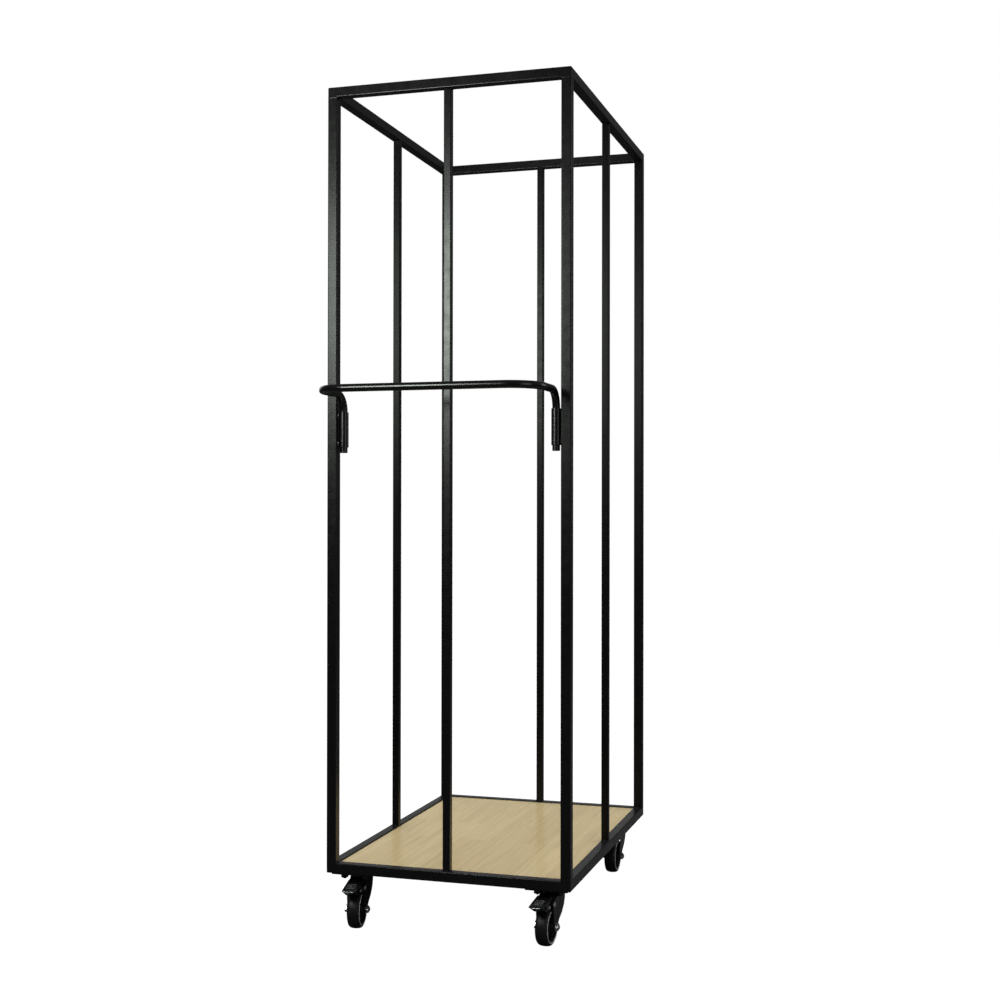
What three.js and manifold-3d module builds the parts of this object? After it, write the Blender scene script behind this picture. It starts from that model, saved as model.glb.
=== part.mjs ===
// A rolling clothes rack: a tall welded cage of square tube on four swivel casters,
// with a board let into its base and a push handle that lifts out of two sockets.
// Millimetres, +Z up, -Y towards the handle. The origin is on the floor, in the middle
// of the overall footprint, handle included.
import * as THREE from 'three';
import { mergeVertices } from 'three/addons/utils/BufferGeometryUtils.js';
import Module from 'manifold-3d';

const wasm = await Module();
wasm.setup();

// ---------- driving dimensions ----------

// Cage of square tube
const frameWidth = 500;
const frameDepth = 700;
const frameHeight = 1562;
const tubeSide = 20;
const midPostSide = 15;
const tubeWall = 1.5;

// Board in the base
const deckThickness = 18;
const deckGap = 1;

// Plates welded under the corners of the base, and the studs that hold the casters
const mountPlate = { width: 84, depth: 116, thickness: 4 };
const stud = { radius: 4, length: 11.5, spacingX: 45, spacingY: 75 };
const nut = { radius: 7.5, height: 6.5 };

// Casters: where they turn, and how far each is steered at rest
const casterHeight = 107;
const casterInset = { side: 50, end: 66 };
const casters = [
  { place: 'front_left', sideX: -1, endY: -1, steer: 8, brake: true },
  { place: 'front_right', sideX: 1, endY: -1, steer: -4, brake: true },
  { place: 'rear_left', sideX: -1, endY: 1, steer: 0, brake: false },
  { place: 'rear_right', sideX: 1, endY: 1, steer: 0, brake: false },
];
const topPlate = { width: 64, depth: 92, thickness: 3, cornerRadius: 8, boltHole: 4.5 };
const raceCup = { inner: 9, outer: 23, height: 3 };
const ballRing = { inner: 12, outer: 21, top: -6.3, bottom: -9.7 };
const kingpin = { radius: 5, top: -0.5, shoulder: -13.3, headRadius: 9, bottom: -17.3 };
const fork = { top: -10, bottom: -13, radius: 25, legInside: 16, legThickness: 2.5, bossRadius: 9 };
const forkSkirt = { front: -24, back: -22, bottom: -30 };
const wheel = {
  radius: 37.5, halfWidth: 12.5, trail: 42,
  rimRadius: 30, rimThickness: 3, webHalf: 4.5, hubRadius: 10, hubHalf: 15, bore: 4.4,
};
const axle = { radius: 4, hexRadius: 7.4, hexHeight: 5.5, threadEnd: 2 };
const wheelZ = wheel.radius - casterHeight;

// Edges of a fork leg as [y, z], measured from the swivel axis and the top of the caster
// plate like every point of the fork and the pedal
const legTop = { front: -18, back: 15 };
const legBack = [[-20, -60], [-4, -51], [8, -39], [14, -26]];
const plainLegFront = [[-25, -16], [-48, -48]];
const brakedLegFront = { shoulder: [-26, -14.5], lugRadius: 8, waist: [-51, -44] };

// Brake pedal: pivot, back and front edges of its top plate, shoe, and outline of an ear
const brakePivot = { y: -50, z: -25 };
const pedal = { halfWidth: 14.5, plate: 2, lip: 8, earInside: 12, earThickness: 2.5 };
const pedalBack = { y: -53, z: -9.5 };
const pedalFront = { y: -110, z: -18 };
const pedalShoe = { y: -73, z: -35 };
const pedalEar = [
  [-44, -15], [-45, -29], [-50, -31.5], [-66, -33], [-84, -27], [-88, -16], [-53, -10.5],
];
const pedalPin = { radius: 3, headRadius: 5, headHeight: 2.2 };

// Push handle and its sockets, heights measured from the underside of the base
const handle = {
  tubeRadius: 7.5, wall: 1.5, halfSpan: 218.5, reach: 142.5,
  barHeight: 950, legEnd: 834, legBend: 34, cornerBend: 65,
};
const socket = { outer: 9.5, inner: 8, top: 915, length: 70 };
const socketLug = { height: 10, thickness: 6, inset: 2 };

// Play between parts that turn or are pressed together
const play = 0.3;

// ---------- derived places ----------

const baseZ = casterHeight + mountPlate.thickness;
const topRailZ = baseZ + frameHeight - tubeSide;
const frameCentreY = (handle.reach + handle.tubeRadius) / 2;
const frontY = frameCentreY - frameDepth / 2;
const rearY = frameCentreY + frameDepth / 2;
const postHeight = frameHeight - 2 * tubeSide;

// ---------- materials ----------

const finish = (color, roughness, metalness) =>
  new THREE.MeshStandardMaterial({ color, roughness, metalness });
const powderCoat = () => finish(0x1b1d1c, 0.45, 0.3);
const blackZinc = () => finish(0x202221, 0.4, 0.6);
const brightZinc = () => finish(0xb9bcbd, 0.3, 0.9);
const boardWood = () => finish(0xc9b68a, 0.5, 0);
const blackTyre = () => finish(0x26282a, 0.5, 0);
const blackPlastic = () => finish(0x1d1e1f, 0.5, 0);

const rack = new THREE.Group();

function addMesh(parent, name, geometry, material) {
  const mesh = new THREE.Mesh(geometry, material);
  mesh.name = name;
  parent.add(mesh);
  return mesh;
}

// ---------- solids: joining, cutting and the common shapes ----------

function toSolid(geometry) {
  const bare = geometry.clone();
  bare.deleteAttribute('normal');
  bare.deleteAttribute('uv');
  const merged = mergeVertices(bare, 1e-4);
  return new wasm.Manifold(new wasm.Mesh({
    numProp: 3,
    vertProperties: new Float32Array(merged.attributes.position.array),
    triVerts: new Uint32Array(merged.index.array),
  }));
}

function toGeometry(solid) {
  const mesh = solid.getMesh();
  const geometry = new THREE.BufferGeometry();
  geometry.setAttribute('position', new THREE.BufferAttribute(mesh.vertProperties, 3));
  geometry.setIndex(new THREE.BufferAttribute(mesh.triVerts, 1));
  geometry.computeVertexNormals();
  return geometry;
}

function combine(joined, removed = []) {
  let solid = joined.map(toSolid).reduce((whole, piece) => whole.add(piece));
  for (const piece of removed) solid = solid.subtract(toSolid(piece));
  return toGeometry(solid);
}

function box(xRange, yRange, zRange) {
  const size = [xRange, yRange, zRange].map(([low, high]) => high - low);
  const centre = [xRange, yRange, zRange].map(([low, high]) => (low + high) / 2);
  return new THREE.BoxGeometry(...size).translate(...centre);
}

// A round bar along Z between two heights; six sides make a hexagon
function roundZ(radius, bottom, top, sides = 16) {
  const bar = new THREE.CylinderGeometry(radius, radius, top - bottom, sides);
  return bar.rotateX(Math.PI / 2).translate(0, 0, (top + bottom) / 2);
}

// A round bar along X between two places, through the point (y, z)
function roundX(radius, left, right, y, z, sides = 12) {
  const bar = new THREE.CylinderGeometry(radius, radius, right - left, sides);
  return bar.rotateZ(Math.PI / 2).translate((left + right) / 2, y, z);
}

// A profile of [radius, height] points, listed upwards on its outside, turned about Z
function turnedZ(profile, segments) {
  const points = profile.map(([radius, height]) => new THREE.Vector2(radius, height));
  return new THREE.LatheGeometry(points, segments).rotateX(Math.PI / 2);
}

// A closed profile of [radius, offset] points turned about the X axis
function turnedX(profile, segments) {
  const points = profile.map(([radius, offset]) => new THREE.Vector2(radius, offset));
  points.push(points[0].clone());
  return new THREE.LatheGeometry(points, segments).rotateZ(-Math.PI / 2);
}

// A shape drawn in Y and Z, thickened along X from a given place
function sidePlate(shape, fromX, thickness) {
  const plate = new THREE.ExtrudeGeometry(shape, {
    depth: thickness, bevelEnabled: false, curveSegments: 5,
  });
  const alongY = new THREE.Vector3(0, 1, 0);
  const alongZ = new THREE.Vector3(0, 0, 1);
  const alongX = new THREE.Vector3(1, 0, 0);
  plate.applyMatrix4(new THREE.Matrix4().makeBasis(alongY, alongZ, alongX));
  return plate.translate(fromX, 0, 0);
}

function polygon(points) {
  return new THREE.Shape(points.map(([u, v]) => new THREE.Vector2(u, v)));
}

// ---------- cage ----------

// A square tube with mitred ends; its long outer face lies along X at y = 0
function mitredRail(length) {
  const outline = polygon([
    [-length / 2, 0], [length / 2, 0],
    [length / 2 - tubeSide, tubeSide], [-length / 2 + tubeSide, tubeSide],
  ]);
  const outside = new THREE.ExtrudeGeometry(outline, { depth: tubeSide, bevelEnabled: false });
  const across = [tubeWall, tubeSide - tubeWall];
  return combine([outside], [box([-length, length], across, across)]);
}

function uprightTube(side, length) {
  const half = side / 2;
  const inner = half - tubeWall;
  const outline = polygon([[-half, -half], [half, -half], [half, half], [-half, half]]);
  outline.holes.push(polygon([[-inner, -inner], [-inner, inner], [inner, inner], [inner, -inner]]));
  return new THREE.ExtrudeGeometry(outline, { depth: length, bevelEnabled: false });
}

const sides = [
  { name: 'front', turn: 0, length: frameWidth, x: 0, y: frontY },
  { name: 'right', turn: 1, length: frameDepth, x: frameWidth / 2, y: frameCentreY },
  { name: 'rear', turn: 2, length: frameWidth, x: 0, y: rearY },
  { name: 'left', turn: 3, length: frameDepth, x: -frameWidth / 2, y: frameCentreY },
];

function addRails(prefix, z) {
  for (const side of sides) {
    const rail = addMesh(rack, `${prefix}_${side.name}`, mitredRail(side.length), powderCoat());
    rail.position.set(side.x, side.y, z);
    rail.rotation.z = side.turn * Math.PI / 2;
  }
}

function addPosts() {
  const postZ = baseZ + tubeSide;
  for (const { place, sideX, endY } of casters) {
    const tube = uprightTube(tubeSide, postHeight);
    const post = addMesh(rack, `corner_post_${place}`, tube, powderCoat());
    const x = sideX * (frameWidth - tubeSide) / 2;
    post.position.set(x, frameCentreY + endY * (frameDepth - tubeSide) / 2, postZ);
  }
  // The slimmer middle posts stand on the inner half of each rail, flush with its inside
  const inwards = tubeSide - midPostSide / 2;
  for (const side of sides) {
    const tube = uprightTube(midPostSide, postHeight);
    const post = addMesh(rack, `mid_post_${side.name}`, tube, powderCoat());
    const outwardX = Math.sign(side.x);
    const outwardY = Math.sign(side.y - frameCentreY);
    post.position.set(side.x - outwardX * inwards, side.y - outwardY * inwards, postZ);
  }
}

function addDeck() {
  const halfWidth = frameWidth / 2 - tubeSide - deckGap;
  const halfDepth = frameDepth / 2 - tubeSide - deckGap;
  const depthRange = [frameCentreY - halfDepth, frameCentreY + halfDepth];
  const board = box([-halfWidth, halfWidth], depthRange, [baseZ, baseZ + deckThickness]);
  addMesh(rack, 'deck_board', board, boardWood());
}

// ---------- push handle ----------

// A curve that ExtrudeGeometry samples exactly at the listed stations, so that straight
// runs take one step and bends take several
class StationCurve extends THREE.Curve {
  constructor(stations) {
    super();
    this.stations = stations;
  }

  nearest(u) {
    return this.stations[Math.round(u * (this.stations.length - 1))];
  }

  getPoint(u) {
    return this.nearest(u).point.clone();
  }

  getPointAt(u) {
    return this.getPoint(u);
  }

  getTangentAt(u) {
    return this.nearest(u).tangent.clone();
  }
}

// Stations round a quarter bend from one direction to the next
function bendStations(start, from, to, radius, steps) {
  const stations = [];
  for (let step = 0; step <= steps; step += 1) {
    const angle = (step / steps) * Math.PI / 2;
    const point = start.clone();
    point.addScaledVector(from, radius * Math.sin(angle));
    point.addScaledVector(to, radius * (1 - Math.cos(angle)));
    const tangent = from.clone().multiplyScalar(Math.cos(angle));
    tangent.addScaledVector(to, Math.sin(angle));
    stations.push({ point, tangent });
  }
  return stations;
}

function handleCurve() {
  const up = new THREE.Vector3(0, 0, 1);
  const down = new THREE.Vector3(0, 0, -1);
  const forward = new THREE.Vector3(0, -1, 0);
  const back = new THREE.Vector3(0, 1, 0);
  const right = new THREE.Vector3(1, 0, 0);
  const legY = frontY + tubeSide / 2;
  const barY = frontY - handle.reach;
  const barZ = baseZ + handle.barHeight;
  const bendZ = barZ - handle.legBend;
  const armFront = barY + handle.cornerBend;
  const armBack = legY - handle.legBend;
  const barEnd = handle.halfSpan - handle.cornerBend;
  const at = (x, y, z) => new THREE.Vector3(x, y, z);
  const { halfSpan, legBend, cornerBend } = handle;
  const footZ = baseZ + handle.legEnd;
  return new StationCurve([
    { point: at(-halfSpan, legY, footZ), tangent: up },
    ...bendStations(at(-halfSpan, legY, bendZ), up, forward, legBend, 5),
    ...bendStations(at(-halfSpan, armFront, barZ), forward, right, cornerBend, 6),
    ...bendStations(at(barEnd, barY, barZ), right, back, cornerBend, 6),
    ...bendStations(at(halfSpan, armBack, barZ), back, down, legBend, 5),
    { point: at(halfSpan, legY, footZ), tangent: down },
  ]);
}

function addHandle() {
  const inside = handle.tubeRadius - handle.wall;
  const section = new THREE.Shape().absarc(0, 0, handle.tubeRadius, 0, 2 * Math.PI);
  section.holes.push(new THREE.Path().absarc(0, 0, inside, 0, 2 * Math.PI, true));
  const curve = handleCurve();
  const tube = new THREE.ExtrudeGeometry(section, {
    extrudePath: curve, steps: curve.stations.length - 1, curveSegments: 8,
  });
  addMesh(rack, 'push_handle', tube, powderCoat());
}

// A short sleeve with two lugs that are welded to the inside of a front post
function addSocket(name, sideX) {
  const top = socket.length;
  const postFace = frameWidth / 2 - tubeSide - handle.halfSpan;
  const lugReach = sideX < 0 ? [-postFace, 0] : [0, postFace];
  const lugAt = (low) => box(
    lugReach, [-socketLug.thickness / 2, socketLug.thickness / 2], [low, low + socketLug.height],
  );
  const upperLug = top - socketLug.inset - socketLug.height;
  const sleeve = combine(
    [roundZ(socket.outer, 0, top, 24), lugAt(socketLug.inset), lugAt(upperLug)],
    [roundZ(socket.inner, -1, top + 1, 24)],
  );
  const mesh = addMesh(rack, name, sleeve, powderCoat());
  const bottomZ = baseZ + socket.top - socket.length;
  mesh.position.set(sideX * handle.halfSpan, frontY + tubeSide / 2, bottomZ);
}

// ---------- casters ----------

const studPlaces = [-1, 1].flatMap((sideX) => [-1, 1].map((endY) => [
  sideX * stud.spacingX / 2, endY * stud.spacingY / 2,
]));

// Plate welded under a corner of the base, with its four weld studs and their nuts
function mountPlateSolid() {
  const halfWidth = mountPlate.width / 2;
  const halfDepth = mountPlate.depth / 2;
  const plate = box([-halfWidth, halfWidth], [-halfDepth, halfDepth], [0, mountPlate.thickness]);
  const nutTop = -topPlate.thickness;
  const fasteners = studPlaces.flatMap(([x, y]) => [
    roundZ(stud.radius, -stud.length, 1, 8).translate(x, y, 0),
    roundZ(nut.radius, nutTop - nut.height, nutTop, 6).translate(x, y, 0),
  ]);
  return combine([plate, ...fasteners]);
}

function roundedRectangle(width, depth, radius) {
  const x = width / 2 - radius;
  const y = depth / 2 - radius;
  const quarter = Math.PI / 2;
  const shape = new THREE.Shape();
  shape.absarc(x, y, radius, 0, quarter);
  shape.absarc(-x, y, radius, quarter, 2 * quarter);
  shape.absarc(-x, -y, radius, 2 * quarter, 3 * quarter);
  shape.absarc(x, -y, radius, 3 * quarter, 4 * quarter);
  return shape;
}

function topPlateSolid() {
  const outline = roundedRectangle(topPlate.width, topPlate.depth, topPlate.cornerRadius);
  const plate = new THREE.ExtrudeGeometry(outline, {
    depth: topPlate.thickness, bevelEnabled: false, curveSegments: 3,
  }).translate(0, 0, -topPlate.thickness);
  const cupBottom = -topPlate.thickness - raceCup.height;
  const holes = studPlaces.map(([x, y]) => roundZ(topPlate.boltHole, -5, 1, 10).translate(x, y, 0));
  const throughHole = roundZ(kingpin.radius + play, -20, 1);
  const cup = roundZ(raceCup.outer, cupBottom, -1);
  const cupHollow = roundZ(raceCup.inner, cupBottom - 1, -topPlate.thickness);
  return combine([plate, cup], [...holes, throughHole, cupHollow]);
}

function ballRingSolid() {
  const { inner, outer, top, bottom } = ballRing;
  const profile = [[inner, bottom], [outer, bottom], [outer, top], [inner, top], [inner, bottom]];
  return turnedZ(profile, 16);
}

function kingpinSolid() {
  const { radius, headRadius, top, shoulder, bottom } = kingpin;
  return turnedZ([
    [0, bottom], [headRadius, bottom], [headRadius, shoulder], [radius, shoulder],
    [radius, top], [0, top],
  ], 16);
}

// One leg of the fork, drawn in Y and Z: it sweeps down and forwards to the axle boss, and
// on a braked caster it also reaches forwards to carry the pedal's pin
function legOutline(brake) {
  const outline = new THREE.Shape();
  outline.moveTo(legTop.back, fork.top);
  outline.lineTo(legTop.front, fork.top);
  if (brake) {
    const { shoulder, lugRadius, waist } = brakedLegFront;
    outline.lineTo(...shoulder);
    outline.absarc(brakePivot.y, brakePivot.z, lugRadius, Math.PI / 2, 1.25 * Math.PI);
    outline.lineTo(...waist);
  } else {
    for (const point of plainLegFront) outline.lineTo(...point);
  }
  outline.absarc(-wheel.trail, wheelZ, fork.bossRadius, Math.PI, 1.9 * Math.PI);
  for (const point of legBack) outline.lineTo(...point);
  return outline;
}

function forkSolid(brake) {
  const { legInside, legThickness, bottom } = fork;
  const outline = legOutline(brake);
  const outside = legInside + legThickness;
  const crown = roundZ(fork.radius, bottom, fork.top, 24);
  // A wall that joins the two legs ahead of the kingpin
  const skirtAcross = [-legInside - 1, legInside + 1];
  const skirt = box(skirtAcross, [forkSkirt.front, forkSkirt.back], [forkSkirt.bottom, bottom + 1]);
  const holes = [
    roundZ(kingpin.radius + play, -30, 0),
    roundX(axle.radius + play, -30, 30, -wheel.trail, wheelZ),
  ];
  if (brake) holes.push(roundX(pedalPin.radius + play, -30, 30, brakePivot.y, brakePivot.z));
  return combine([
    crown,
    skirt,
    sidePlate(outline, legInside, legThickness),
    sidePlate(outline, -outside, legThickness),
  ], holes);
}

// Axle bolt with its nut: a hexagon stands outside each leg of the fork
function axleSolid() {
  const seat = fork.legInside + fork.legThickness + play;
  const end = seat + axle.hexHeight;
  const at = [-wheel.trail, wheelZ];
  return combine([
    roundX(axle.radius, -seat - 1, end + axle.threadEnd, ...at),
    roundX(axle.hexRadius, -end, -seat, ...at, 6),
    roundX(axle.hexRadius, seat, end, ...at, 6),
  ]);
}

// One half of a wheel profile, listed inwards from its outer side, made whole by its mirror
// image in the middle plane of the wheel
function mirrored(half) {
  const other = half.map(([radius, offset]) => [radius, -offset]).reverse();
  return [...half, ...other];
}

function wheelCoreSolid() {
  const { bore, hubHalf, hubRadius, webHalf, rimRadius, rimThickness, halfWidth } = wheel;
  const rimHalf = halfWidth - 0.5;
  const rimInside = rimRadius - rimThickness;
  return turnedX(mirrored([
    [bore, -hubHalf], [hubRadius, -hubHalf], [hubRadius + 1, -webHalf], [rimInside - 1, -webHalf],
    [rimInside, -rimHalf], [rimRadius, -rimHalf],
  ]), 24);
}

// The shoulders of the tread are rounded off in two steps
function tyreSolid() {
  const { radius, halfWidth, rimRadius } = wheel;
  return turnedX(mirrored([
    [rimRadius + play, -halfWidth + 0.5], [radius - 4, -halfWidth], [radius - 1, -halfWidth + 2],
    [radius, -halfWidth + 5],
  ]), 32);
}

// The pedal is one bent plate, open at the back, between two ears that hang on the pin
function pedalSolid() {
  const slope = Math.atan2(pedalShoe.z - pedalFront.z, pedalShoe.y - pedalFront.y);
  const lift = { y: -pedal.plate * Math.sin(slope), z: pedal.plate * Math.cos(slope) };
  const bent = polygon([
    [pedalBack.y, pedalBack.z], [pedalFront.y, pedalFront.z], [pedalShoe.y, pedalShoe.z],
    [pedalShoe.y + lift.y, pedalShoe.z + lift.z],
    [pedalFront.y + pedal.lip, pedalFront.z - pedal.plate],
    [pedalBack.y, pedalBack.z - pedal.plate],
  ]);
  const ear = polygon(pedalEar);
  const { halfWidth, earInside, earThickness } = pedal;
  return combine([
    sidePlate(bent, -halfWidth, 2 * halfWidth),
    sidePlate(ear, earInside, earThickness),
    sidePlate(ear, -earInside - earThickness, earThickness),
  ], [roundX(pedalPin.radius + play, -30, 30, brakePivot.y, brakePivot.z)]);
}

function pedalPinSolid() {
  const seat = fork.legInside + fork.legThickness + play;
  const end = seat + pedalPin.headHeight;
  const at = [brakePivot.y, brakePivot.z];
  return combine([
    roundX(pedalPin.radius, -seat - 1, seat + 1, ...at),
    roundX(pedalPin.headRadius, -end, -seat, ...at),
    roundX(pedalPin.headRadius, seat, end, ...at),
  ]);
}

function addCaster({ place, sideX, endY, steer, brake }) {
  const fixed = new THREE.Group();
  fixed.position.x = sideX * (frameWidth / 2 - casterInset.side);
  fixed.position.y = frameCentreY + endY * (frameDepth / 2 - casterInset.end);
  fixed.position.z = casterHeight;
  rack.add(fixed);
  addMesh(fixed, `mount_plate_${place}`, mountPlateSolid(), powderCoat());
  addMesh(fixed, `caster_plate_${place}`, topPlateSolid(), blackZinc());
  addMesh(fixed, `kingpin_${place}`, kingpinSolid(), blackZinc());

  const swivel = new THREE.Group();
  swivel.rotation.z = THREE.MathUtils.degToRad(steer);
  fixed.add(swivel);
  addMesh(swivel, `ball_ring_${place}`, ballRingSolid(), brightZinc());
  addMesh(swivel, `fork_${place}`, forkSolid(brake), blackZinc());
  addMesh(swivel, `axle_${place}`, axleSolid(), brightZinc());
  for (const [name, solid, material] of [
    ['wheel_core', wheelCoreSolid(), blackPlastic()],
    ['tyre', tyreSolid(), blackTyre()],
  ]) {
    addMesh(swivel, `${name}_${place}`, solid, material).position.set(0, -wheel.trail, wheelZ);
  }
  if (!brake) return;
  addMesh(swivel, `brake_pedal_${place}`, pedalSolid(), blackZinc());
  addMesh(swivel, `brake_pin_${place}`, pedalPinSolid(), brightZinc());
}

// ---------- assembly ----------

addRails('base_rail', baseZ);
addRails('top_rail', topRailZ);
addPosts();
addDeck();
addHandle();
addSocket('handle_socket_left', -1);
addSocket('handle_socket_right', 1);
casters.forEach(addCaster);

export default rack;
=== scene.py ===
"""Looks of a rolling clothes rack: rounded welded tube, a strip-wood board, a lift-out push
handle and four swivel casters. Lengths in the piece makers are millimetres; MM turns them
into metres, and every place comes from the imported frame."""
import math
import random

import bmesh
import bpy
from mathutils import Matrix, Vector


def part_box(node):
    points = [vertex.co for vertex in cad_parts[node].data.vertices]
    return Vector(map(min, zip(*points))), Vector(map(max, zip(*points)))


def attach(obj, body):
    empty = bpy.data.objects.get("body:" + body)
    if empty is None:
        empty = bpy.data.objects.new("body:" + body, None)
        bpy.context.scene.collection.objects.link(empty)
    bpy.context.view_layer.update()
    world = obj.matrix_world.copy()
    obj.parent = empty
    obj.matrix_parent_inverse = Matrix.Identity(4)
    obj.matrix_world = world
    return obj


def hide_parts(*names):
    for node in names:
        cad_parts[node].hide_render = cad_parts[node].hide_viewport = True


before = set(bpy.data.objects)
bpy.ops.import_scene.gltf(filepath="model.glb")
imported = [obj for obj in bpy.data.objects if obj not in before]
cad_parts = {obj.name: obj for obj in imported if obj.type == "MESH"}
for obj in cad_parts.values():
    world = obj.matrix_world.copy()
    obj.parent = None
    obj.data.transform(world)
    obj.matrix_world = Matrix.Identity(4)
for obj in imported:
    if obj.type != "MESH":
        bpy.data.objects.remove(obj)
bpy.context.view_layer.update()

MM = 0.001
scene = bpy.context.scene
dice = random.Random(7)

# ---------- sizes that the frame does not state (mm) ----------

TUBE_ROUND = 2.0
SLIM_ROUND = 1.6
HANDLE = {"radius": 7.5, "bore": 6.0, "leg_bend": 34.0, "corner_bend": 65.0}
SLEEVE = {"radius": 9.5, "bore": 8.0}

# A caster's own frame has its origin on the swivel axis at the top face of its plate. The wheel
# trails towards -Y, and Z points up. STEER is how far each caster is turned at rest, in degrees.
STEER = {"front_left": 8.0, "front_right": -4.0, "rear_left": 0.0, "rear_right": 0.0}
PLATE_THICKNESS = 3.0
STUD_SPACING = (45.0, 75.0)
STUD_RADIUS = 4.0
TRAIL = 42.0
WHEEL_Z = -69.5
LEG_INNER = 16.0
LEG_OUTER = 18.5
PEDAL_PIVOT = (-50.0, -25.0)
PEDAL_HALF_WIDTH = 14.5
PEDAL_CORNER = 7.0
PEDAL_RIVET = (-67.0, -26.5)
PEDAL_TIP = (-109.35, -18.3)


# ---------- points and outlines ----------

def arc(centre, radius, start, end, steps):
    """Points round an arc in a plane; the angles are in degrees."""
    points = []
    for i in range(steps + 1):
        angle = math.radians(start + (end - start) * i / steps)
        x = centre[0] + radius * math.cos(angle)
        y = centre[1] + radius * math.sin(angle)
        points.append((x, y))
    return points


def circle(centre, radius, steps):
    return arc(centre, radius, 0, 360, steps)[:-1]


def rounded(points, radius, steps=4):
    """A closed outline with each corner rounded; radius is one number or one per corner."""
    radii = radius if isinstance(radius, (list, tuple)) else [radius] * len(points)
    result = []
    for i, corner in enumerate(points):
        here = Vector(corner)
        before = Vector(points[i - 1]) - here
        after = Vector(points[(i + 1) % len(points)]) - here
        if radii[i] <= 0:
            result.append(tuple(here))
            continue
        half = before.angle(after) / 2
        reach = min(radii[i] / math.tan(half), before.length * 0.499, after.length * 0.499)
        start = here + before.normalized() * reach
        end = here + after.normalized() * reach
        for k in range(steps + 1):
            t = k / steps
            curve = start * (1 - t) ** 2 + here * 2 * t * (1 - t) + end * t ** 2
            result.append(tuple(curve))
    return result


def rectangle(low, high):
    """The corners of an upright rectangle between its low and its high corner."""
    return [(low[0], low[1]), (high[0], low[1]), (high[0], high[1]), (low[0], high[1])]


def square_section(side, radius):
    half = side / 2
    return rounded(rectangle((-half, -half), (half, half)), radius)


# ---------- solids ----------

def loft(bm, rings, looped=False):
    """Skins rings of points that all have the same count, and caps the ends of an open run."""
    grid = [[bm.verts.new(point) for point in ring] for ring in rings]
    count = len(grid[0])
    spans = len(grid) if looped else len(grid) - 1
    for i in range(spans):
        near, far = grid[i], grid[(i + 1) % len(grid)]
        for k in range(count):
            m = (k + 1) % count
            bm.faces.new((near[k], near[m], far[m], far[k]))
    if not looped:
        bm.faces.new(list(reversed(grid[0])))
        bm.faces.new(grid[-1])


def lathe(bm, profile, segments, place=Matrix.Identity(4)):
    """A closed profile of (radius, height) points turned about Z."""
    rings = []
    for i in range(segments):
        angle = 2 * math.pi * i / segments
        turn = Matrix.Rotation(angle, 4, "Z")
        rings.append([place @ turn @ Vector((r, 0, z)) for r, z in profile])
    loft(bm, rings, looped=True)


def prism(bm, outline, low, high, edge, place=Matrix.Identity(4), steps=2):
    """An outline in XY thickened along Z, with its rim rounded by edge."""
    middle = Vector((sum(p[0] for p in outline), sum(p[1] for p in outline))) / len(outline)
    inwards = inward_normals(outline, middle)
    rings = []
    for flat, height in rim_profile(low, high, edge, steps):
        ring = []
        for (x, y), normal in zip(outline, inwards):
            ring.append(place @ Vector((x + normal.x * flat, y + normal.y * flat, height)))
        rings.append(ring)
    loft(bm, rings)


def rim_profile(low, high, edge, steps):
    """Pairs of inset and height that round the two rims of a plate."""
    pairs = []
    for i in range(steps + 1):
        angle = math.pi / 2 * i / steps
        pairs.append((edge * (1 - math.sin(angle)), low + edge * (1 - math.cos(angle))))
    for i in range(steps + 1):
        angle = math.pi / 2 * i / steps
        pairs.append((edge * (1 - math.cos(angle)), high - edge * (1 - math.sin(angle))))
    return pairs


def inward_normals(outline, middle):
    """The mitred inward direction at each point of an outline."""
    count = len(outline)
    area = sum(
        outline[i - 1][0] * outline[i][1] - outline[i][0] * outline[i - 1][1]
        for i in range(count)
    )
    sign = 1 if area > 0 else -1
    normals = []
    for i in range(count):
        before = Vector(outline[i]) - Vector(outline[i - 1])
        after = Vector(outline[(i + 1) % count]) - Vector(outline[i])
        side_a = Vector((-before.y, before.x)).normalized() * sign
        side_b = Vector((-after.y, after.x)).normalized() * sign
        blend = side_a + side_b
        length = max(blend.length_squared / 2, 0.4)
        normals.append(blend / length)
    return normals


def along_x(place):
    """A frame whose XY plane is the YZ plane of place, so that a prism is thickened along X."""
    turn = Matrix(((0, 0, 1, 0), (1, 0, 0, 0), (0, 1, 0, 0), (0, 0, 0, 1)))
    return place @ turn


def facing_x(side):
    """A turn that points Z along +X for side 1, or along -X for side -1."""
    return Matrix.Rotation(side * math.pi / 2, 4, "Y")


def tube_rings(stations, radius, segments):
    """Rings round a path; each station is a point, a side direction and an up direction."""
    rings = []
    for point, side, up in stations:
        ring = []
        for x, y in circle((0, 0), radius, segments):
            ring.append(point + side * x + up * y)
        rings.append(ring)
    return rings


def pipe(bm, stations, outer, inner, segments, lip):
    """An open-ended pipe with rounded rims, as one closed skin."""
    first, last = stations[0], stations[-1]
    start = (stations[1][0] - first[0]).normalized()
    end = (last[0] - stations[-2][0]).normalized()
    outside = tube_rings(stations, outer, segments)
    inside = tube_rings(stations, inner, segments)
    middle = (outer + inner) / 2
    lip_start = tube_rings([(first[0] - start * lip, *first[1:])], middle, segments)
    lip_end = tube_rings([(last[0] + end * lip, *last[1:])], middle, segments)
    loft(bm, outside + lip_end + inside[::-1] + lip_start, looped=True)


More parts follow.
